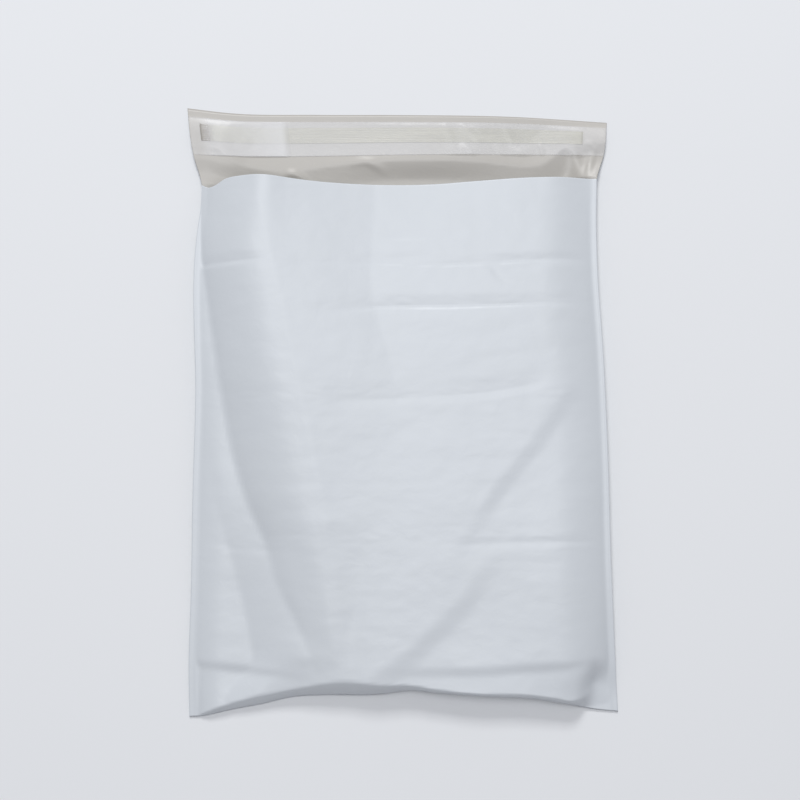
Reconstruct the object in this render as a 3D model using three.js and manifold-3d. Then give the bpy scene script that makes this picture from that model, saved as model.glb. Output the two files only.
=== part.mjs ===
// A poly mailer bag lying face up with its flap open: one sheet of co-extruded film, folded across the
// bottom and welded down both sides into a pocket. The back panel runs on past the mouth as the flap, which
// carries a strip of hot-melt adhesive under a peel-off release liner.
//
// Frame: millimetres, +Z up, +Y from the bottom fold to the flap, +X to the right of the front panel. The
// origin is on the surface that the bag lies on, under the middle of its outline.

import * as THREE from "three";
import { mergeVertices } from "three/addons/utils/BufferGeometryUtils.js";
import Module from "manifold-3d";

const wasm = await Module();
wasm.setup();

// The flat bag is 254 mm wide, with a pocket 330 mm deep and a flap of 44 mm. Filled, it lies in this outline.
const HALF_WIDTH = 127;
const FOLD_LEFT = new THREE.Vector2(-125, -182.5);
const FOLD_RIGHT = new THREE.Vector2(129, -179.5);
const MOUTH_LEFT = new THREE.Vector2(-120, 134.5);
const MOUTH_RIGHT = new THREE.Vector2(118, 139);
const FLAP_LEFT = new THREE.Vector2(-129, 182.5);
const FLAP_RIGHT = new THREE.Vector2(125, 173.5);

const FILM = 0.8; // drawn thickness of one layer; the real film is 0.06 mm
const WELD = 3; // width of the side welds and of the pressed bottom fold
const WELD_STEP = 0.3; // how far the front layer stands off the back layer inside a weld
const TRIM = 0.4; // the front layer stops this far inside the back layer's edge

const CROWN = 24; // height of the front panel over the filled part
const LIP_HEIGHT = 12.5; // height of the middle of the lip over the surface
const SEAM_HEIGHT = 6; // the side welds rise to this between the bottom corners and the mouth
const FOLD_HEIGHT = 8; // the middle of the bottom fold rises to this
const FOLD_DRAW = 13.5; // and is drawn in by this
const LIP_CREST = 4; // the lip runs forward by this at the quarters
const LIP_DIP = 2; // and back by this in the middle
const FLAP_SWELL = 2.2; // the flap's gentle wave

const BOTTOM_RUN = 26; // length over which the front panel climbs from the fold
const MOUTH_RUN = 60; // length over which it comes down to the lip
const FOLD_RUN = 20; // length over which the back panel climbs to the fold
const SIDE_START = 0.7; // share of the half width where the back panel starts to climb to the weld

const ADHESIVE = { from: 28.5, to: 39.5, thick: 0.3, leftGap: 8, rightGap: 13 };
const LINER = { from: 19.5, to: 43.8, thick: 0.3 };
const CLEARANCE = 0.3; // gap kept between pieces that touch

const COLUMNS = 28;
const POCKET_ROWS = 30;
const FLAP_ROWS = 8;

const POCKET_LENGTH = MOUTH_LEFT.distanceTo(FOLD_LEFT);
const FLAP_LENGTH = FLAP_LEFT.distanceTo(MOUTH_LEFT);

const clamp01 = (x) => Math.min(1, Math.max(0, x));
const smooth = (x) => clamp01(x) ** 2 * (3 - 2 * clamp01(x));

// Plan position of the back layer. across is -1 at the left weld and 1 at the right one, and along is
// measured in millimetres from the bottom fold, past the mouth at POCKET_LENGTH and on to the flap's edge.
function backPlan(across, along) {
  const inPocket = clamp01(along / POCKET_LENGTH);
  const onFlap = (along - POCKET_LENGTH) / FLAP_LENGTH;
  const side = (across + 1) / 2;
  const fold = FOLD_LEFT.clone().lerp(FOLD_RIGHT, side);
  const mouth = MOUTH_LEFT.clone().lerp(MOUTH_RIGHT, side);
  const edge = FLAP_LEFT.clone().lerp(FLAP_RIGHT, side);
  fold.y += FOLD_DRAW * (1 - across ** 2);
  return onFlap > 0 ? mouth.lerp(edge, onFlap) : fold.lerp(mouth, inPocket);
}

// The front layer covers the pocket only, and its last rows follow the lip's wave.
function frontPlan(across, along) {
  const spot = backPlan(across * (1 - TRIM / HALF_WIDTH), Math.max(along, TRIM));
  const share = smooth((along - POCKET_LENGTH + MOUTH_RUN) / MOUTH_RUN);
  const wave = LIP_CREST * Math.sin(Math.PI * across) ** 2 - LIP_DIP * (1 - across ** 2);
  spot.y += wave * share;
  return spot;
}

const foldHeight = (across) => FOLD_HEIGHT * (1 - across ** 4);

// Height of the side welds' middle plane: low at the bottom corners and at the flap's free edge.
function seamHeight(along) {
  const leavesCorner = smooth(along / 70);
  const fadesOnFlap = 1 - smooth((along - POCKET_LENGTH) / (0.8 * FLAP_LENGTH));
  return SEAM_HEIGHT * leavesCorner * fadesOnFlap;
}

// The back layer lies flat, and climbs only to the welds, to the bottom fold and in the flap's wave.
function backHeight(across, along) {
  const toWeld = smooth((Math.abs(across) - SIDE_START) / (1 - SIDE_START));
  const toFold = 1 - smooth(along / FOLD_RUN);
  const onFlap = clamp01((along - POCKET_LENGTH) / FLAP_LENGTH);
  const swell = FLAP_SWELL * Math.sin(Math.PI * onFlap) ** 2 * Math.sin(1.5 * Math.PI * across) ** 2;
  return FILM / 2 + seamHeight(along) * toWeld + foldHeight(across) * toFold * (1 - toWeld) + swell;
}

function frontHeight(across, along) {
  const fromWeld = (1 - Math.abs(across)) * HALF_WIDTH - WELD;
  const fromFold = along - WELD;
  const back = backHeight(across, along);
  const climb = Math.sqrt(smooth(fromFold / BOTTOM_RUN));
  const descent = smooth((along - POCKET_LENGTH + MOUTH_RUN) / MOUTH_RUN);
  const crown = (CROWN + (LIP_HEIGHT - CROWN) * descent) * climb;
  const swelling = 1 - (1 - clamp01(fromWeld / (HALF_WIDTH - WELD))) ** 4;
  const welded = back + WELD_STEP;
  return Math.max(welded, welded + (crown - welded) * swelling);
}

const onBack = (across, along) => {
  const spot = backPlan(across, along);
  return new THREE.Vector3(spot.x, spot.y, backHeight(across, along));
};

const onFront = (across, along) => {
  const spot = frontPlan(across, along);
  return new THREE.Vector3(spot.x, spot.y, frontHeight(across, along));
};

function normalAt(surface, across, along) {
  const step = 1e-3;
  const toRight = surface(across + step, along).sub(surface(across - step, along));
  const toFlap = surface(across, along + step).sub(surface(across, along - step));
  return toRight.cross(toFlap).normalize();
}

// A closed sheet over the given stations. Its underside and top stand off the surface by low and high.
function sheet(surface, acrosses, alongs, low, high) {
  const positions = [];
  for (const offset of [low, high])
    for (const along of alongs)
      for (const across of acrosses) {
        const point = surface(across, along).addScaledVector(normalAt(surface, across, along), offset);
        positions.push(...point.toArray());
      }
  const columns = acrosses.length;
  const layer = columns * alongs.length;
  const faces = [];
  const quad = (a, b, c, d) => faces.push(a, b, c, a, c, d);
  for (let row = 0; row < alongs.length - 1; row++)
    for (let column = 0; column < columns - 1; column++) {
      const a = row * columns + column;
      quad(a + columns, a + columns + 1, a + 1, a);
      quad(layer + a, layer + a + 1, layer + a + columns + 1, layer + a + columns);
    }
  const rim = [];
  for (let column = 0; column < columns; column++) rim.push(column);
  for (let row = 1; row < alongs.length; row++) rim.push(row * columns + columns - 1);
  for (let column = columns - 2; column >= 0; column--) rim.push(layer - columns + column);
  for (let row = alongs.length - 2; row > 0; row--) rim.push(row * columns);
  rim.forEach((a, i) => {
    const b = rim[(i + 1) % rim.length];
    quad(a, b, layer + b, layer + a);
  });
  const geometry = new THREE.BufferGeometry();
  geometry.setAttribute("position", new THREE.Float32BufferAttribute(positions, 3));
  geometry.setIndex(faces);
  return geometry;
}

function toSolid(geometry) {
  const merged = mergeVertices(geometry, 1e-4);
  return new wasm.Manifold(
    new wasm.Mesh({
      numProp: 3,
      vertProperties: merged.attributes.position.array,
      triVerts: new Uint32Array(merged.index.array),
    }),
  );
}

function toGeometry(solid) {
  const mesh = solid.getMesh();
  const geometry = new THREE.BufferGeometry();
  geometry.setAttribute("position", new THREE.BufferAttribute(mesh.vertProperties, 3));
  geometry.setIndex(new THREE.BufferAttribute(mesh.triVerts, 1));
  geometry.computeVertexNormals();
  return geometry;
}

// count + 1 stations from first to last, closer together towards both ends.
function stations(first, last, count, ease = 0.5) {
  return Array.from({ length: count + 1 }, (_, i) => {
    const t = i / count;
    const eased = (1 - Math.cos(Math.PI * t)) / 2;
    return first + (last - first) * (t + (eased - t) * ease);
  });
}

// The film: the back layer with the flap, and the front layer fused to it along the welds and the fold.
const acrosses = stations(-1, 1, COLUMNS, 0.8);
const pocketRows = stations(0, POCKET_LENGTH, POCKET_ROWS, 0.8);
const flapRows = stations(POCKET_LENGTH, POCKET_LENGTH + FLAP_LENGTH, FLAP_ROWS, 0).slice(1);
const backLayer = sheet(onBack, acrosses, [...pocketRows, ...flapRows], -FILM / 2, FILM / 2);
const frontLayer = sheet(onFront, acrosses, pocketRows, -FILM / 2, FILM / 2);
const filmSolid = toSolid(backLayer).add(toSolid(frontLayer));
const film = new THREE.Mesh(
  toGeometry(filmSolid),
  new THREE.MeshStandardMaterial({ color: 0xd6dbe2, roughness: 0.42, metalness: 0 }),
);
film.name = "film_bag";

// A strip that lies on the flap between two distances from the mouth.
function strip(from, to, leftGap, rightGap, gap, thick) {
  const width = FLAP_RIGHT.distanceTo(FLAP_LEFT);
  const columns = stations(-1 + (2 * leftGap) / width, 1 - (2 * rightGap) / width, COLUMNS, 0);
  const rows = stations(POCKET_LENGTH + from, POCKET_LENGTH + to, 4, 0);
  const low = FILM / 2 + gap;
  return sheet(onBack, columns, rows, low, low + thick);
}

const adhesive = new THREE.Mesh(
  strip(ADHESIVE.from, ADHESIVE.to, ADHESIVE.leftGap, ADHESIVE.rightGap, CLEARANCE, ADHESIVE.thick),
  new THREE.MeshStandardMaterial({ color: 0xcbc8b6, roughness: 0.3, metalness: 0 }),
);
adhesive.name = "adhesive_strip";

const linerGap = 2 * CLEARANCE + ADHESIVE.thick;
const liner = new THREE.Mesh(
  strip(LINER.from, LINER.to, 0, 0, linerGap, LINER.thick),
  new THREE.MeshStandardMaterial({ color: 0xdededd, roughness: 0.3, metalness: 0 }),
);
liner.name = "release_liner";

const bag = new THREE.Group();
bag.name = "poly_mailer_bag";
bag.add(film, adhesive, liner);

export default bag;
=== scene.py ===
# A poly mailer bag lying face up with its flap open. Lengths inside each section are millimetres, in the
# frame's own axes: +X to the right, +Y from the bottom fold to the flap, +Z up.

import math

import bpy
import numpy as np
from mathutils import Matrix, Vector, noise


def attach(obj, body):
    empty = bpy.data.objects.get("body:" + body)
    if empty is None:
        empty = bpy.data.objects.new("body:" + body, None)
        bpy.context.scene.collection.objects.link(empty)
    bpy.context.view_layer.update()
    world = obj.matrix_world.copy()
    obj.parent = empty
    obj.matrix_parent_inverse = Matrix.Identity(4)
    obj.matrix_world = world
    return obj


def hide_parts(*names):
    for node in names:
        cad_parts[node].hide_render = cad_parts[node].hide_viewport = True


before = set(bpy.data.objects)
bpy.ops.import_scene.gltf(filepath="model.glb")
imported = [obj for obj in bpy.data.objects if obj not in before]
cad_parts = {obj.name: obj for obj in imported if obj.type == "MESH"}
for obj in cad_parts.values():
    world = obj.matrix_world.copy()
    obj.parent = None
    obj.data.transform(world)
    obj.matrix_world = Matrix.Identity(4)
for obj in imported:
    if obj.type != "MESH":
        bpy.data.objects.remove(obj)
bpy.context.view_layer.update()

MM = 0.001


def smooth(t):
    t = np.clip(t, 0, 1)
    return t * t * (3 - 2 * t)


def rise(t):
    """Climbs steeply from 0 and levels off at 1."""
    return 1 - (1 - np.clip(t, 0, 1)) ** 2.2


def curve(points, t):
    """A smooth curve through a few (station, value) points."""
    stations, values = np.array(points, float).T
    slopes = np.gradient(values, stations)
    t = np.clip(t, stations[0], stations[-1])
    i = np.clip(np.searchsorted(stations, t, side="right") - 1, 0, len(stations) - 2)
    gap = stations[i + 1] - stations[i]
    s = (t - stations[i]) / gap
    return (
        values[i] * (1 + 2 * s) * (1 - s) ** 2
        + slopes[i] * gap * s * (1 - s) ** 2
        + values[i + 1] * s * s * (3 - 2 * s)
        + slopes[i + 1] * gap * s * s * (s - 1)
    )


# The two side welds, as x for each y.
LEFT_WELD = [(-182, -124.4), (-155, -125.0), (-108, -123.9), (-50, -123.2), (5, -121.9), (95, -122.6),
             (108, -121.4), (120, -119.9), (134.6, -119.4)]
RIGHT_WELD = [(-179, 128.5), (-143, 126.5), (-96, 124.5), (-25, 122.8), (29, 120.8), (83, 117.8),
              (107, 117.4), (139, 118.1)]
# The bottom fold and the lip of the mouth, as y for each x.
BOTTOM_FOLD = [(-124.4, -182), (-117, -181.6), (-101, -178.2), (-82, -174.6), (-62, -170.2), (-47, -169.2),
               (-12, -168.6), (6, -166.3), (20, -167.2), (47, -169.1), (82, -171.3), (97, -174),
               (115, -177.6), (128.5, -179)]
LIP = [(-119.4, 134.6), (-115, 132.6), (-111, 133.2), (-105, 136.4), (-95, 137.8), (-78, 137.8),
       (-66, 136.4), (-50, 134.8), (-30, 133.7), (0, 133.2), (20, 133.7), (48, 135.7), (80, 137.7), (95, 138),
       (118.1, 138)]
MOUTH_LINE = [(-119.4, 134.6), (118.1, 139)]
# The flap's side edges, as x for each share of the way from the mouth, and its free edge, as y for each x.
FLAP_LEFT = [(0, -119.4), (0.13, -120.8), (0.29, -123.3), (0.44, -125.2), (0.6, -126.6), (0.8, -127.9),
             (1, -128.9)]
FLAP_RIGHT = [(0, 118.1), (0.2, 120.4), (0.4, 122.8), (0.7, 124.1), (1, 125)]
FLAP_EDGE = [(-128.9, 182.4), (-103, 179.4), (-50, 178.4), (0, 178.3), (72, 177), (125, 173.4)]


# ---------------------------------------------------------------------------------------------------------
# The film's relief. What fills the bag stands about 20 mm high. The slack film falls into long folds that
# meet near the bottom fold, a low slack margin on the left, and a steep side on the right.
# ---------------------------------------------------------------------------------------------------------
CROWN = 15.8

# The welds themselves lie flat over this width.
WELD_STRIP = 4

# Height of the lip of the mouth for each x.
LIP_HEIGHT = [(-119, 6), (-108, 8), (-96, 12), (-82, 15.5), (-66, 14), (-40, 12), (0, 11), (40, 11.5),
              (80, 12.5), (100, 12), (112, 9), (118, 7)]

# Height of the side welds for each y, and of the bottom fold for each x.
LEFT_WELD_HEIGHT = [(-182, 0.8), (-165, 1.5), (-120, 2.8), (-60, 4.4), (0, 6), (60, 7.5), (100, 7),
                    (134.6, 3.4)]
RIGHT_WELD_HEIGHT = [(-179, 0.8), (-168, 1.2), (-150, 4), (-120, 7), (-60, 9), (70, 9), (139, 6)]
FOLD_HEIGHT = [(-124.4, 0.8), (-110, 0.6), (-85, 0.6), (-60, 1), (-40, 2), (-12, 3), (6, 5), (22, 8.5),
               (50, 9.5), (78, 8.5), (92, 7), (102, 4), (110, 1.4), (118, 0.8), (128.5, 0.8)]

# The foot and the crest of the long slope on the left, as x for each y.
SLOPE_FOOT = [(-170, -45), (-149, -51), (-136, -56), (-101, -73), (-81, -79), (-56, -90), (-30, -98),
              (9, -106), (60, -114), (99, -119), (138, -120)]
SLOPE_CREST = [(-170, -33), (-156, -33), (-131, -38), (-106, -41), (-73, -47), (-43, -52), (-5, -60),
               (33, -68), (77, -77), (110, -85), (138, -91)]
# Where the right flank of the crest runs out, as x for each y, and how high the crest stands over it.
FLANK_END = [(-170, -30), (-156, -30), (-130, -18), (-80, -8), (-40, -3), (30, -6), (60, -15), (138, -15)]
FLANK_DROP = [(-170, 0), (-156, 0), (-130, 0.8), (-80, 1.7), (0, 3.6), (60, 5), (138, 4.6)]
MARGIN_HEIGHT = [(-182, 7), (-165, 6.5), (-150, 6), (-120, 5.8), (-60, 6.8), (0, 8), (60, 9), (138, 8.5)]
# A second, lower step between the margin and the slope, near the bottom: its foot and its height.
STEP_FOOT = [(-182, -106), (-165, -100), (-150, -87), (-136, -88), (-118, -91.5), (-97, -97), (-73, -104),
             (-50, -110), (138, -116)]
STEP_HEIGHT = [(-182, 7), (-165, 8), (-150, 7.6), (-130, 6.4), (-100, 5), (-70, 3), (-40, 1.2), (-10, 0),
               (138, 0)]

# The top of the bottom wall, and how far from the fold it is reached, for each x.
WALL_TOP = [(-124.4, 2), (-114, 7.4), (-95, 8.5), (-75, 8.5), (-60, 10.5), (-45, 13.5), (-30, 15.2),
            (-12, 15.8), (10, 15.8), (30, 15.5), (60, 15), (85, 14), (97, 13), (104, 11), (109, 7), (114, 3),
            (120, 1.8), (128.5, 1.4)]
WALL_RUN = [(-124.4, 2), (-112, 4.6), (-98, 5.8), (-80, 5.2), (-60, 5), (-45, 7), (-32, 8), (-12, 6),
            (5, 4), (20, 2.5), (70, 2), (90, 2.5), (104, 4), (109, 8), (114, 13), (120, 13), (128.5, 6)]


# Lengths over which the front panel eases: down to the lip, up into the margin, up over the step, up from
# the right weld, and from the wall into the panel. The step is longer under the line across its foot.
LIP_RUN = 80
MARGIN_RUN = 16
STEP_RUN = 34
STEP_RUN_MORE = 26
SIDE_RUN = 32
WALL_BLEND = 18


def dense(points):
    """Many more points of the smooth curve through these."""
    numbers = np.arange(len(points))
    t = np.linspace(0, len(points) - 1, 6 * (len(points) - 1) + 1)
    return np.stack([curve(list(zip(numbers, column)), t) for column in np.array(points, float).T], axis=1)


def along(x, y, points):
    """How far each place is to the left of a fold's path, and the fold's height where it is nearest."""
    best = np.full(x.shape, 1e9)
    side = np.zeros(x.shape)
    height = np.zeros(x.shape)
    path = dense(points)
    for (x0, y0, h0), (x1, y1, h1) in zip(path[:-1], path[1:]):
        dx, dy = x1 - x0, y1 - y0
        t = np.clip(((x - x0) * dx + (y - y0) * dy) / (dx * dx + dy * dy), 0, 1)
        away = np.hypot(x - x0 - t * dx, y - y0 - t * dy)
        nearer = away < best
        best = np.where(nearer, away, best)
        side = np.where(nearer, np.sign(dx * (y - y0) - dy * (x - x0)), side)
        height = np.where(nearer, h0 + (h1 - h0) * t, height)
    return side * best, height


def crease(x, y, points, left, right, cusp):
    """How far a fold lifts the film. Its path is a list of (x, y, height), and it eases off over the
    distances left and right of the way it runs. A higher cusp is a sharper fold, and 0 is a soft one."""
    side, height = along(x, y, points)
    s = np.clip(np.abs(side) / np.where(side > 0, left, right), 0, 1)
    return height * ((1 - s) ** cusp if cusp else smooth(1 - s))


def fall(x, y, points, width, reach):
    """How far the film steps down to the right of a path of (x, y, drop), over the width of the step.
    It comes back up over a longer reach, and with a negative width the lower side is the left one."""
    side, drop = along(x, y, points)
    lower = -side * math.copysign(1, width)
    return -drop * smooth(lower / abs(width)) * (1 - smooth((lower - abs(width)) / reach))


# Steps that the film makes across the front panel: each path with its drops, the width of the step, and
# the distance over which the film comes back up.
FRONT_STEPS = [
    # the folds from the pinch towards the right shoulder
    ([(-24, -160, 0), (-14, -154, 0.8), (6, -138, 1.2), (28, -117, 1.1), (44, -97, 0.6), (54, -84, 0)],
     13, 45),
    ([(22, -92, 0), (36, -73, 0.4), (52, -48, 0.8), (73, -22, 1), (92, 4, 1), (108, 24, 0)], 11, 50),
    # the fold that curls out of the pinch to the left of it
    ([(-28, -157, 0), (-24, -148, 0.4), (-18, -128, 0.8), (-14, -100, 0.7), (-12, -70, 0)], -11, 45),
    # the line across the foot of the margin, and the one along the right of the bottom roll
    ([(-44, -160, 0), (-56, -157, 0.9), (-70, -154, 1.3), (-94, -151, 1.4), (-115, -149, 1.2),
      (-127, -147, 1)], -5, 60),
    ([(118, -144, 0.5), (108, -146.5, 1.2), (93, -148.5, 1.4), (70, -150, 1.3), (46, -151.6, 1.1),
      (10, -152, 0.6), (-14, -151, 0)], -6, 60),
]

# Folds across the front panel: each path with its heights, its widths to the left and right, and its cusp.
FRONT_FOLDS = [
    # the pinch
    ([(-36, -158, -0.8), (-33, -145, -0.5), (-31, -120, 0)], 24, 22, 0),
    # old folds across the bag from its packing, each with a sharp lower side
    ([(-117, 85, -0.4), (-96, 86.5, -0.6), (-85, 87.5, -0.3), (-79, 88, 0)], 6, 2.5, 1.3),
    ([(-68, 86, 0), (-50, 86, -0.25), (-20, 86, -0.3), (20, 85, -0.5), (52, 86, -0.65), (90, 88, -0.65),
      (108, 88, -0.3)], 6, 3.5, 1.2),
    ([(48, 84, 0), (60, 82, -0.4), (76, 83, -0.5), (90, 85, 0)], 2, 2.5, 1),
    ([(-60, 59, 0), (-38, 57, -0.35), (-11, 59.5, -0.6), (30, 60, -0.8), (79, 61.5, -0.6), (110, 62, -0.2)],
     8, 3, 1.2),
    ([(-50, 2, 0), (-20, 4, -0.3), (20, 6, -0.4), (55, 9, -0.5), (80, 14, -0.4), (88, 19, 0)], 10, 4, 1.2),
    ([(24, -81, 0), (40, -80.5, -0.2), (60, -80, -0.25), (100, -79, -0.3), (114, -79, -0.1)], 4, 3, 1.1),
    ([(36, -91, 0), (60, -91, -0.1), (108, -91, -0.1)], 3, 3, 1),
    ([(-14, 103, 0), (0, 102.5, -0.4), (30, 103, -0.4), (40, 105, 0)], 4, 4, 1),
    ([(-22, 90, 0), (-8, 88, -0.25), (10, 89.5, -0.25), (24, 91, 0)], 6, 4, 1),
    ([(52, 86, 0), (58, 78, -0.4), (66, 73, 0)], 2, 2, 1),
    ([(-117, -80, 0), (-100, -82, -0.12), (-80, -84, -0.15), (-62, -86, 0)], 4, 3, 1.1),
    # the creases in the bottom right corner
    ([(127, -138, 0), (117, -154, 1.3), (111, -168, 1.6), (109, -177, 0.6)], 3.5, 7, 1.2),
    ([(121, -150, 0), (120, -165, 0.8), (117, -175, 0)], 3, 3, 1),
]


def front_height(x, y):
    left = curve(LEFT_WELD, y)
    right = curve(RIGHT_WELD, y)
    weld_left = curve(LEFT_WELD_HEIGHT, y)
    weld_right = curve(RIGHT_WELD_HEIGHT, y)
    lip = curve(LIP, x)
    fold = curve(BOTTOM_FOLD, x)

    # over the filling, down to the lip at the mouth
    near_lip = np.clip((y - lip + LIP_RUN) / LIP_RUN, 0, 1) ** 2
    crown = CROWN + (curve(LIP_HEIGHT, x) - CROWN) * near_lip

    # the low margin, the step in it, and the long slope on the left
    margin = weld_left + (curve(MARGIN_HEIGHT, y) - weld_left) * rise((x - left - WELD_STRIP) / MARGIN_RUN)
    step_run = STEP_RUN + STEP_RUN_MORE * smooth((-144 - y) / 20)
    up_the_step = np.clip((x - curve(STEP_FOOT, y)) / step_run, 0, 1)
    margin = margin + curve(STEP_HEIGHT, y) * (1 - (1 - up_the_step) ** 1.4)
    foot = curve(SLOPE_FOOT, y)
    crest = curve(SLOPE_CREST, y)
    flat_end = crest + 4
    flank = np.clip((x - flat_end) / np.maximum(curve(FLANK_END, y) - flat_end, 1), 0, 1)
    top = crown + curve(FLANK_DROP, y) * (1 - flank) ** (1 + 0.8 * smooth((30 - y) / 60))
    roundness = 2.2 - 0.8 * smooth((-50 - y) / 60)
    climb = 1 - (1 - np.clip((x - foot) / (crest - 2 - foot), 0, 1)) ** roundness
    height = margin + (top - margin) * climb

    # the steps and folds across the panel
    height = height + sum(fall(x, y, *step) for step in FRONT_STEPS)
    height = height + sum(crease(x, y, *fold_line) for fold_line in FRONT_FOLDS)

    # the steep side on the right
    from_weld = np.clip((right - x - WELD_STRIP) / SIDE_RUN, 0, 1)
    height = weld_right + (height - weld_right) * (1 - (1 - from_weld) ** 2.4)

    # the wall down to the bottom fold
    wall_top = curve(WALL_TOP, x)
    edge = curve(FOLD_HEIGHT, x)
    run = curve(WALL_RUN, x)
    wall = edge + (wall_top - edge) * (1 - (1 - np.clip((y - fold) / run, 0, 1)) ** 1.15)
    beyond = smooth((y - fold - run) / WALL_BLEND)
    return np.minimum(height, wall + (height - wall_top) * beyond)


def back_height(x, y):
    left = curve(LEFT_WELD, y)
    right = curve(RIGHT_WELD, y)
    near_left = smooth(1 - (x - left) / 30) * curve(LEFT_WELD_HEIGHT, y)
    near_right = smooth(1 - (right - x) / 20) * curve(RIGHT_WELD_HEIGHT, y)
    near_fold = smooth(1 - (y - curve(BOTTOM_FOLD, x)) / 20) * curve(FOLD_HEIGHT, x)
    return np.maximum(np.maximum(near_left, near_right), near_fold)


# Soft folds of the open flap, in the form of the front's. The first is at the mouth's left corner, and the
# second is the long one where the flap turns down into the mouth.
FLAP_FOLDS = [
    ([(-127, 152, 1.8), (-116, 151, 1.6), (-104, 147.5, 0.7), (-96, 144, 0)], 34, 9, 1),
    ([(-127, 160, 0.8), (-112, 158, 1.2), (-102, 151, 1.7), (-88, 145.5, 1.8), (-66, 143.5, 1.8),
      (-42, 147, 2), (0, 150.5, 2.3), (42, 150, 2.3), (70, 147, 2.1), (84, 147.5, 2.1), (93, 153, 2.2),
      (102, 159, 2.3), (124, 161, 2.3)], 17, 13, 1.2),
    ([(-72, 139, 0.3), (-66, 142, 1), (-59, 139.5, 0.9), (-55, 136, 0.3)], 2.5, 3, 1),
    ([(-30, 146, 0), (-22, 149, 0.5), (-14, 145.5, 0.5), (-8, 141, 0)], 4, 2, 1),
    ([(103, 160, 0), (106, 152, 0.7), (108, 140, 0.7)], 4, 5, 0),
    ([(118, 160, 0), (115, 150, 0.6), (112, 140, 0.4)], 3, 3, 1),
]


def flap_height(x, y, share):
    """The flap comes down from the mouth's corners over a soft fold along the mouth."""
    corners = back_height(x, y) * np.clip(1 - share / 0.45, 0, 1) ** 1.3
    folds = sum(crease(x, y, *fold_line) for fold_line in FLAP_FOLDS)
    wave = 0.5 * smooth(share / 0.3) * smooth((1 - share) / 0.3) * (1 + np.sin(x / 21 + 1))
    return corners + folds + wave


# ---------------------------------------------------------------------------------------------------------
# The film as a mesh: the back panel with the flap, and the front panel, sharing the welds and the fold.
# ---------------------------------------------------------------------------------------------------------
FILM_THICKNESS = 0.15  # drawn a little thicker than the real 0.06
WELD_BEAD = 0.3  # half height of the bead that the hot knife leaves along each side
THIN = 3  # the hidden back panel has one column for three of the front's


def graded(length, places, fine, coarse, reach, multiple=1):
    """Shares of a length, in steps that shrink from coarse to fine towards each of the places."""
    at = [0]
    while at[-1] < length:
        away = min(abs(at[-1] - place) for place in places)
        at.append(at[-1] + fine + (coarse - fine) * min(away / reach, 1))
    count = multiple * round((len(at) - 1) / multiple)
    return np.interp(np.linspace(0, len(at) - 1, count + 1), range(len(at)), at) / at[-1]


across = graded(246, [0, 246], 0.3, 1.9, 12, THIN)
back_across = across[::THIN]
# close together at the bottom fold, at the folds across the panel, and at the lip
up = graded(317, [0, 97, 184, 241, 267, 317], 0.7, 1.95, 9)
flap_up = np.linspace(0, 1, 29)[1:]


def weld_bead(distance):
    """Half the height of the weld across its width: a bead at the very edge, then a pressed strip."""
    return np.interp(distance, [0, 0.35, 0.9, 1.6, 3, 4], [0, WELD_BEAD, WELD_BEAD, 0.2, 0.2, 0.4])


def pocket_plan(s, v, top):
    """Place of a point of the pocket in plan, s of the way across and v of the way to its mouth."""
    left = curve(LEFT_WELD, -182 + v * (134.6 + 182))
    right = curve(RIGHT_WELD, -179 + v * (139 + 179))
    x = left + (right - left) * s
    return x, (1 - v) * curve(BOTTOM_FOLD, x) + v * curve(top, x)


def flap_plan(s, share):
    left = curve(FLAP_LEFT, share)
    right = curve(FLAP_RIGHT, share)
    x = left + (right - left) * s
    return x, (1 - share) * curve(MOUTH_LINE, x) + share * curve(FLAP_EDGE, x)


def unevenness(x, y, wave, seed):
    """Gentle random dents, wave millimetres across, between -1 and 1."""
    spots = np.stack([x.ravel() / wave, y.ravel() / wave, np.full(x.size, seed)], axis=1)
    return np.array([noise.noise(Vector(spot)) for spot in spots]).reshape(x.shape)


def weld_distances(x, y):
    return np.minimum(x - curve(LEFT_WELD, y), curve(RIGHT_WELD, y) - x)


def front_points(s, v):
    x, y = pocket_plan(s, v, LIP)
    inside = weld_distances(x, y)
    welded = back_height(x, y) + weld_bead(np.maximum(inside, 0))
    calm = smooth(inside / 15) * smooth((y - curve(BOTTOM_FOLD, x)) / 15)
    dents = 0.25 * unevenness(x, y, 34, 1) + 0.08 * unevenness(x, y, 10, 2)
    dents = dents + 0.2 * np.abs(unevenness(x / 4, y, 15, 3)) + 0.14 * np.abs(unevenness(x / 3, y, 5, 4))
    height = front_height(x, y) + calm * dents
    return x, y, np.maximum(height, welded)


def back_points(s, v):
    x, y = pocket_plan(s, v, MOUTH_LINE)
    return x, y, np.maximum(back_height(x, y) - weld_bead(np.maximum(weld_distances(x, y), 0)), 0)


def flap_points(s, share):
    x, y = flap_plan(s, share)
    return x, y, flap_height(x, y, share)


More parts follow.
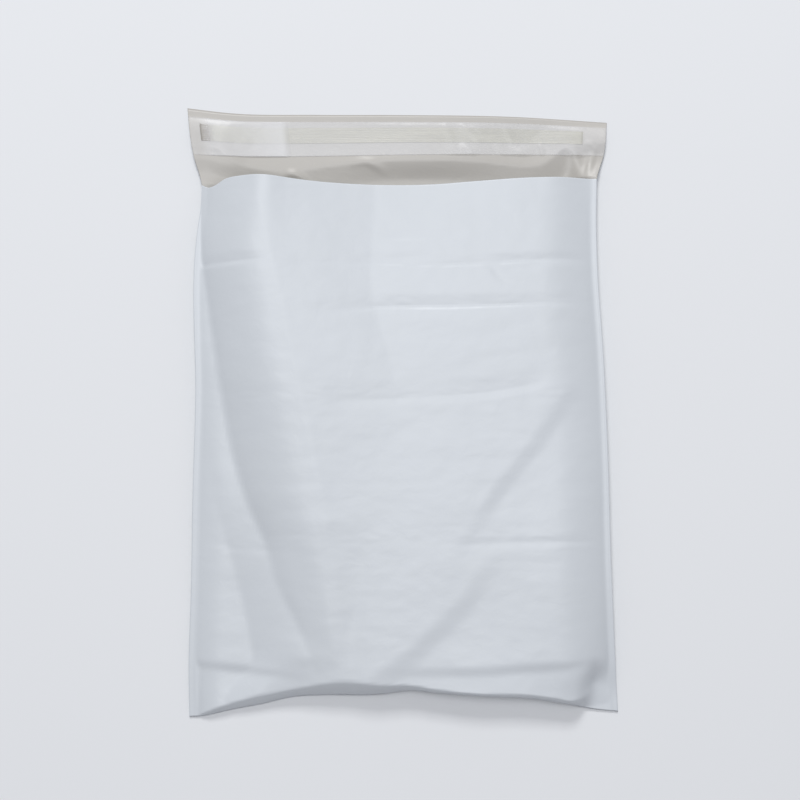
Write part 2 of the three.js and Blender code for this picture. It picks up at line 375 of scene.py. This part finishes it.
def make_film():
    columns, rows = len(across), len(up)
    points, faces = [], []

    def add(xyz, keep=None):
        """Adds a grid of points and returns their numbers. keep gives the numbers of those already there."""
        xyz = np.stack(xyz, axis=-1)
        numbers = np.full(xyz.shape[:-1], -1) if keep is None else keep.copy()
        fresh = numbers < 0
        numbers[fresh] = len(points) + np.arange(fresh.sum())
        points.extend(xyz[fresh].tolist())
        return numbers

    def quads(grid, upward):
        a, b, c, d = grid[:-1, :-1], grid[:-1, 1:], grid[1:, 1:], grid[1:, :-1]
        corners = (a, b, c, d) if upward else (d, c, b, a)
        faces.extend(np.stack([corner.ravel() for corner in corners], axis=1).tolist())

    def zip_rows(fine, coarse, fine_is_above):
        """Faces between a row with all columns and a row with every third one, seen from below."""
        for k in range(len(coarse) - 1):
            many = fine[k * THIN:(k + 1) * THIN + 1].tolist()
            few = [int(coarse[k]), int(coarse[k + 1])]
            faces.append(many + few[::-1] if fine_is_above else many[::-1] + few)

    s, v = np.meshgrid(across, up)
    front = add(front_points(s, v))
    s, v = np.meshgrid(back_across, up[1:-1])
    shared = np.full(s.shape, -1)
    shared[:, 0] = front[1:-1, 0]
    shared[:, -1] = front[1:-1, -1]
    back = add(back_points(s, v), shared)
    s, share = np.meshgrid(across, np.concatenate([[0], flap_up]))
    shared = np.full(s.shape, -1)
    shared[0, 0] = front[-1, 0]
    shared[0, -1] = front[-1, -1]
    flap = add(flap_points(s, share), shared)

    quads(front, True)
    quads(back, False)
    quads(flap, False)
    zip_rows(front[0], back[0], False)
    zip_rows(flap[0], back[-1], True)

    mesh = bpy.data.meshes.new("film_bag_sheet")
    mesh.from_pydata((np.array(points) * MM).tolist(), [], faces)
    mesh.polygons.foreach_set("use_smooth", [True] * len(mesh.polygons))
    mesh.validate()
    welded = np.zeros(len(points), bool)
    welded[front[:, [0, -1]]] = True
    ends = np.zeros(2 * len(mesh.edges), int)
    mesh.edges.foreach_get("vertices", ends)
    crisp = mesh.attributes.new("sharp_edge", "BOOLEAN", "EDGE")
    crisp.data.foreach_set("value", welded[ends.reshape(-1, 2)].all(axis=1))
    piece = bpy.data.objects.new("film_bag_sheet", mesh)
    bpy.context.scene.collection.objects.link(piece)
    solid = piece.modifiers.new("film thickness", "SOLIDIFY")
    solid.thickness = FILM_THICKNESS * MM
    solid.offset = -1
    solid.material_offset = 1
    solid.material_offset_rim = 1
    return piece


def linear(hex_colour):
    """An sRGB hex colour as the linear values that a shader socket takes."""
    channels = [int(hex_colour[i:i + 2], 16) / 255 for i in (1, 3, 5)]
    return [c / 12.92 if c <= 0.04045 else ((c + 0.055) / 1.055) ** 2.4 for c in channels] + [1]


def add_node(tree, kind, settings=None, links=None):
    """Adds a node. settings sets its properties and unlinked inputs, and links feeds its inputs."""
    node = tree.nodes.new(kind)
    for name, value in (settings or {}).items():
        if isinstance(name, str) and hasattr(node, name):
            setattr(node, name, value)
        else:
            node.inputs[name].default_value = value
    for name, source in (links or {}).items():
        tree.links.new(source, node.inputs[name])
    return node


def new_material(name):
    material = bpy.data.materials.new(name)
    material.use_nodes = True
    material.node_tree.nodes.clear()
    return material, material.node_tree


def polyethylene_film(name, deep, pale, roughness):
    """Blown polyethylene film: an even pigment colour with a satin gloss and very slight haze and ripple.
    The film's fine ripple, about 0.3 mm, is drawn at 1.5 mm, the slack film's faint crinkles at 8 mm, and
    slow clouds in the colour at 60 mm."""
    material, tree = new_material(name)
    place = add_node(tree, "ShaderNodeTexCoord").outputs["Object"]
    clouds = add_node(tree, "ShaderNodeTexNoise", {"Scale": 1 / (60 * MM), "Detail": 3}, {"Vector": place})
    tint = add_node(tree, "ShaderNodeMix", {"data_type": "RGBA", 6: linear(deep), 7: linear(pale)},
                    {0: clouds.outputs["Fac"]})
    crinkle = add_node(tree, "ShaderNodeTexNoise", {"Scale": 1 / (8 * MM), "Detail": 3, "Distortion": 0.8},
                       {"Vector": place})
    crinkled = add_node(tree, "ShaderNodeBump", {"Strength": 0.6, "Distance": 0.15 * MM},
                        {"Height": crinkle.outputs["Fac"]})
    ripple = add_node(tree, "ShaderNodeTexNoise", {"Scale": 1 / (1.5 * MM), "Detail": 2}, {"Vector": place})
    bump = add_node(tree, "ShaderNodeBump", {"Strength": 0.25, "Distance": 0.02 * MM},
                    {"Height": ripple.outputs["Fac"], "Normal": crinkled.outputs["Normal"]})
    shader = add_node(tree, "ShaderNodeBsdfPrincipled", {"Roughness": roughness, "IOR": 1.51},
                      {"Base Color": tint.outputs[2], "Normal": bump.outputs["Normal"]})
    add_node(tree, "ShaderNodeOutputMaterial", None, {"Surface": shader.outputs["BSDF"]})
    return material


film = make_film()
film.data.materials.append(polyethylene_film("white_polyethylene_film", "#CCD1D5", "#D0D5DA", 0.37))
film.data.materials.append(polyethylene_film("grey_polyethylene_film_inside", "#B3B0AA", "#BAB7B1", 0.38))
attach(film, "root")
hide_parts("film_bag")


# ---------------------------------------------------------------------------------------------------------
# The adhesive: a band of clear, slightly yellow hot melt on the flap's inner face. It is laid by a comb of
# nozzles as fine parallel beads that run together, and starts in a thicker brown drop.
# ---------------------------------------------------------------------------------------------------------
ADHESIVE_ROWS = (0.585, 0.81)  # shares of the way up the flap
ADHESIVE_ENDS = (0.026, 0.945)
ADHESIVE_THICKNESS = 0.12
ADHESIVE_RAISE = FILM_THICKNESS + 0.06
BEADS = 9
BEAD_HEIGHT = 0.1
DROP_LENGTH = 0.022  # share of the band that the brown drop takes


def flap_strip(name, rows, ends, columns, bands, raised):
    """A strip over the flap, between two shares of its height and two of its width. raised gives its
    height over the film, and the strip keeps its own (u, v) place as an attribute."""
    u, v = np.meshgrid(np.linspace(0, 1, columns), np.linspace(0, 1, bands))
    share = rows[0] + (rows[1] - rows[0]) * v
    x, y = flap_plan(ends[0] + (ends[1] - ends[0]) * u, share)
    z = flap_height(x, y, share) + raised(x, y, v)
    numbers = np.arange(u.size).reshape(u.shape)
    quads = [numbers[:-1, :-1], numbers[:-1, 1:], numbers[1:, 1:], numbers[1:, :-1]]
    mesh = bpy.data.meshes.new(name)
    mesh.from_pydata((np.stack([x, y, z], axis=-1).reshape(-1, 3) * MM).tolist(), [],
                     np.stack([corner.ravel() for corner in quads], axis=1).tolist())
    mesh.polygons.foreach_set("use_smooth", [True] * len(mesh.polygons))
    place = mesh.attributes.new("band_place", "FLOAT_VECTOR", "POINT")
    place.data.foreach_set("vector", np.stack([u, v, 0 * u], axis=-1).ravel())
    piece = bpy.data.objects.new(name, mesh)
    bpy.context.scene.collection.objects.link(piece)
    return piece


def thicken(piece, thickness):
    solid = piece.modifiers.new("thickness", "SOLIDIFY")
    solid.thickness = thickness * MM
    solid.offset = 1


def bead_tree(material):
    """Lifts a strip into parallel beads, with a drop at its start, and gives it its material."""
    tree = bpy.data.node_groups.new("hot_melt_beads", "GeometryNodeTree")
    sizes = {}
    tree.interface.new_socket("Strip", in_out="INPUT", socket_type="NodeSocketGeometry")
    inputs = (("Beads", BEADS), ("Bead height", BEAD_HEIGHT * MM), ("Drop length", DROP_LENGTH))
    for name, value in inputs:
        socket = tree.interface.new_socket(name, in_out="INPUT", socket_type="NodeSocketFloat")
        sizes[socket.identifier] = float(value)
    tree.interface.new_socket("Beads", in_out="OUTPUT", socket_type="NodeSocketGeometry")
    given = add_node(tree, "NodeGroupInput").outputs
    place = add_node(tree, "GeometryNodeInputNamedAttribute",
                     {"data_type": "FLOAT_VECTOR", "Name": "band_place"})
    split = add_node(tree, "ShaderNodeSeparateXYZ", None, {"Vector": place.outputs["Attribute"]}).outputs

    def maths(operation, first, second):
        numbers = {i: value for i, value in enumerate((first, second)) if isinstance(value, (int, float))}
        links = {i: value for i, value in enumerate((first, second)) if i not in numbers}
        return add_node(tree, "ShaderNodeMath", {"operation": operation, **numbers}, links).outputs[0]

    # each bead is half a sine wave across the band
    wave = maths("SINE", maths("MULTIPLY", maths("MULTIPLY", split["Y"], given["Beads"]), math.pi), 0)
    beads = maths("MULTIPLY", maths("ABSOLUTE", wave, 0), given["Bead height"])
    fade = maths("SUBTRACT", 1.0, maths("DIVIDE", split["X"], given["Drop length"]))
    drop = maths("MULTIPLY", maths("MAXIMUM", fade, 0.0), given["Bead height"])
    lift = add_node(tree, "ShaderNodeCombineXYZ", None, {"Z": maths("ADD", beads, drop)}).outputs[0]
    moved = add_node(tree, "GeometryNodeSetPosition", None, {"Geometry": given["Strip"], "Offset": lift})
    whole = add_node(tree, "GeometryNodeRealizeInstances", None, {"Geometry": moved.outputs[0]})
    finished = add_node(tree, "GeometryNodeSetMaterial", {"Material": material},
                        {"Geometry": whole.outputs[0]})
    add_node(tree, "NodeGroupOutput", None, {"Beads": finished.outputs[0]})
    return tree, sizes


def grown(piece, tree, sizes):
    """Runs a node tree on a piece and keeps the result as its plain mesh."""
    modifier = piece.modifiers.new(tree.name, "NODES")
    modifier.node_group = tree
    for identifier, value in sizes.items():
        modifier[identifier] = value
    seen = piece.evaluated_get(bpy.context.evaluated_depsgraph_get())
    mesh = bpy.data.meshes.new_from_object(seen)
    mesh.name = piece.name
    piece.modifiers.clear()
    piece.data = mesh
    return piece


def hot_melt():
    """Pressure-sensitive hot melt: clear and faintly yellow in thin beads, browner where it is thick, with
    a wet gloss. The beads' own streaks, 1 mm apart and some 40 mm long, vary how yellow it looks."""
    material, tree = new_material("hot_melt_adhesive")
    place = add_node(tree, "ShaderNodeTexCoord").outputs["Object"]
    stretched = add_node(tree, "ShaderNodeMapping", {"Scale": (1 / (40 * MM), 1 / (1 * MM), 0)},
                         {"Vector": place})
    streaks = add_node(tree, "ShaderNodeTexNoise", {"Scale": 1, "Detail": 2},
                       {"Vector": stretched.outputs[0]})
    tint = add_node(tree, "ShaderNodeMix",
                    {"data_type": "RGBA", 6: linear("#8A866F"), 7: linear("#C2BFAA")},
                    {0: streaks.outputs["Fac"]})
    along_band = add_node(tree, "ShaderNodeAttribute", {"attribute_name": "band_place"}).outputs["Vector"]
    start = add_node(tree, "ShaderNodeSeparateXYZ", None, {"Vector": along_band}).outputs["X"]
    drop = add_node(tree, "ShaderNodeMapRange", {"From Min": DROP_LENGTH, "From Max": DROP_LENGTH * 1.7,
                                                 "To Min": 1, "To Max": 0}, {"Value": start})
    colour = add_node(tree, "ShaderNodeMix", {"data_type": "RGBA", 7: linear("#635430")},
                      {0: drop.outputs[0], 6: tint.outputs[2]})
    shader = add_node(tree, "ShaderNodeBsdfPrincipled", {"Roughness": 0.3, "IOR": 1.49},
                      {"Base Color": colour.outputs[2]})
    add_node(tree, "ShaderNodeOutputMaterial", None, {"Surface": shader.outputs["BSDF"]})
    return material


adhesive = flap_strip("adhesive_band", ADHESIVE_ROWS, ADHESIVE_ENDS, 200, 6 * BEADS + 1,
                      lambda x, y, v: ADHESIVE_RAISE)
adhesive = grown(adhesive, *bead_tree(hot_melt()))
thicken(adhesive, ADHESIVE_THICKNESS)
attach(adhesive, "root")
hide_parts("adhesive_strip")


# ---------------------------------------------------------------------------------------------------------
# The release liner: a thin translucent film over the adhesive and the flap's whole width. Only the adhesive
# holds it, so it is creased where the roll was cut, and its lower edge lifts.
# ---------------------------------------------------------------------------------------------------------
LINER_ROWS = (0.395, 0.898)
LINER_THICKNESS = 0.1
LINER_RAISE = ADHESIVE_RAISE + ADHESIVE_THICKNESS + BEAD_HEIGHT + 0.06
LINER_EDGE_RAISE = FILM_THICKNESS + 0.08
# Where the lower edge lifts: the middle, half the width, and the height.
LINER_LIFTS = [(73, 13, 1.1), (107, 10, 1.3), (-88, 20, 0.5), (38, 18, 0.7)]
# Creases, in the form of the film's folds.
LINER_FOLDS = [
    ([(-106, 177, 0), (-107, 165, 0.3), (-106, 153, 0.3)], 8, 8, 0),
    ([(-71, 177, 0.25), (-69.5, 165, 0.3), (-69, 153, 0.3)], 3, 22, 1.2),
    ([(-93, 167.3, 0), (-88, 169, 0.3), (-82, 170.5, 0)], 1.4, 1.4, 1),
    ([(26, 175, 0), (29, 168, 0.6), (32, 161.5, 0.3), (33, 156, 0)], 2.5, 3.5, 1),
    ([(35, 174, 0), (42, 168, 0.7), (48, 162.5, 0.4)], 2.2, 3, 1),
    ([(38, 171, 0), (46, 169.5, 0.4), (52, 166, 0)], 1.6, 1.6, 1),
    ([(38, 160, 0.2), (42, 156.5, 0.6), (46, 152, 0.6)], 2, 2.5, 1),
    ([(56, 160, 0), (60, 156.5, 0.6), (64, 152, 0.8)], 2.5, 2, 1),
    ([(63, 172, 0), (66, 165, 0.5), (71, 158.5, 0)], 3, 3, 1),
    ([(83, 162, 0), (85, 157, 0.7), (86, 152, 0.8)], 2, 2, 1),
    ([(112, 163, 0), (116, 159, 0.6), (120, 155, 0.4)], 2, 3, 1),
]


def liner_raise(x, y, v):
    """The liner lies on the beads, crinkled, and comes down to the film at its free edges or lifts there."""
    on_beads = smooth(v / 0.25) * smooth((1 - v) / 0.12)
    lifts = sum(height * smooth(1 - np.abs(x - middle) / half) for middle, half, height in LINER_LIFTS)
    crinkles = 0.1 + 0.1 * unevenness(x, y, 7, 4)
    folds = sum(crease(x, y, *fold_line) for fold_line in LINER_FOLDS)
    resting = LINER_EDGE_RAISE + (LINER_RAISE - LINER_EDGE_RAISE) * on_beads
    return resting + lifts * smooth(1 - v / 0.4) + crinkles + np.maximum(folds, 0)


def silicone_liner():
    """Silicone-coated polypropylene film: thin, milky and translucent, with a smooth bright gloss. It has
    fine creases some 6 mm apart that only its gloss shows."""
    material, tree = new_material("release_film")
    place = add_node(tree, "ShaderNodeTexCoord").outputs["Object"]
    creases = add_node(tree, "ShaderNodeTexNoise", {"Scale": 1 / (6 * MM), "Detail": 3, "Distortion": 1.5},
                       {"Vector": place})
    bump = add_node(tree, "ShaderNodeBump", {"Strength": 0.35, "Distance": 0.3 * MM},
                    {"Height": creases.outputs["Fac"]})
    # more transparent towards its ends. It is more opaque, and so whiter, in a patch that grows from a
    # twentieth to about a fifth of the way along and ends sharply there, and a little around two thirds of
    # the way: these two patches are painted highlights
    along_band = add_node(tree, "ShaderNodeAttribute", {"attribute_name": "band_place"}).outputs["Vector"]
    place_along = add_node(tree, "ShaderNodeSeparateXYZ", None, {"Vector": along_band}).outputs["X"]
    milkiness_and_painted_highlights = add_node(tree, "ShaderNodeValToRGB", None, {"Fac": place_along})
    # the rise to 0.4 near 0.22 and the small bump at 0.66 are painted highlights; the rest is the liner's
    # even milkiness
    stops = [(0.02, 0.12), (0.045, 0.24), (0.05, 0.27), (0.14, 0.3), (0.2, 0.38), (0.22, 0.4), (0.24, 0.24),
             (0.6, 0.22), (0.66, 0.245), (0.72, 0.22), (0.9, 0.22), (1, 0.15)]
    elements = milkiness_and_painted_highlights.color_ramp.elements
    for element in list(elements)[1:]:
        elements.remove(element)
    for i, (position, value) in enumerate(stops):
        element = elements.new(position) if i else elements[0]
        element.position = position
        element.color = (value, value, value, 1)
    shader = add_node(tree, "ShaderNodeBsdfPrincipled",
                      {"Roughness": 0.28, "IOR": 1.49, "Base Color": linear("#FCFDFF")},
                      {"Normal": bump.outputs["Normal"], "Alpha": milkiness_and_painted_highlights.outputs["Color"]})
    add_node(tree, "ShaderNodeOutputMaterial", None, {"Surface": shader.outputs["BSDF"]})
    return material


liner = flap_strip("release_film_strip", LINER_ROWS, (0, 1), 260, 28, liner_raise)
liner.data.materials.append(silicone_liner())
thicken(liner, LINER_THICKNESS)
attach(liner, "root")
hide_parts("release_liner")


# ---------------------------------------------------------------------------------------------------------
# The floor, the light and the camera.
# ---------------------------------------------------------------------------------------------------------
FLOOR_REACH = 4  # metres

floor_mesh = bpy.data.meshes.new("pale_floor")
floor_mesh.from_pydata([(-FLOOR_REACH, -FLOOR_REACH, 0), (FLOOR_REACH, -FLOOR_REACH, 0),
                        (FLOOR_REACH, FLOOR_REACH, 0), (-FLOOR_REACH, FLOOR_REACH, 0)], [], [(0, 1, 2, 3)])
floor = bpy.data.objects.new("pale_floor", floor_mesh)
bpy.context.scene.collection.objects.link(floor)
floor_material, floor_tree = new_material("white_paper_sweep")
floor_shader = add_node(floor_tree, "ShaderNodeBsdfPrincipled",
                        {"Roughness": 0.9, "Base Color": linear("#E6E8EA"), "Specular IOR Level": 0.2})
add_node(floor_tree, "ShaderNodeOutputMaterial", None, {"Surface": floor_shader.outputs["BSDF"]})
floor_mesh.materials.append(floor_material)


def softbox(name, place, aim, width, length, power, colour):
    light = bpy.data.lights.new(name, "AREA")
    light.shape = "RECTANGLE"
    light.size = width
    light.size_y = length
    light.energy = power
    light.color = linear(colour)[:3]
    lamp = bpy.data.objects.new(name, light)
    lamp.location = place
    lamp.rotation_euler = (Vector(aim) - Vector(place)).to_track_quat("-Z", "Y").to_euler()
    bpy.context.scene.collection.objects.link(lamp)
    return lamp


softbox("overhead_softbox", (-0.16, 0.52, 3.0), (-0.05, 0.3, 0), 1.1, 1.7, 34, "#FBFDFF")
softbox("window_light", (-0.2, 2.55, 2.2), (0, 0, 0), 0.8, 0.8, 51, "#FFFFFF")

world = bpy.data.worlds.new("studio")
bpy.context.scene.world = world
world.use_nodes = True
background = world.node_tree.nodes["Background"]
background.inputs["Color"].default_value = linear("#F4F3FA")
background.inputs["Strength"].default_value = 0.36

CAMERA_DISTANCE = 0.9974
CAMERA_TILT = math.radians(4.05)
CAMERA_AIM = Vector((-0.00015, 0.0053, 0))
camera_data = bpy.data.cameras.new("camera")
camera_data.lens = 75
camera_data.sensor_width = 36
camera = bpy.data.objects.new("camera", camera_data)
camera.rotation_euler = (CAMERA_TILT, 0, 0)
camera.location = CAMERA_AIM + CAMERA_DISTANCE * Vector((0, -math.sin(CAMERA_TILT), math.cos(CAMERA_TILT)))
bpy.context.scene.collection.objects.link(camera)
bpy.context.scene.camera = camera
bpy.context.scene.view_settings.view_transform = "Standard"
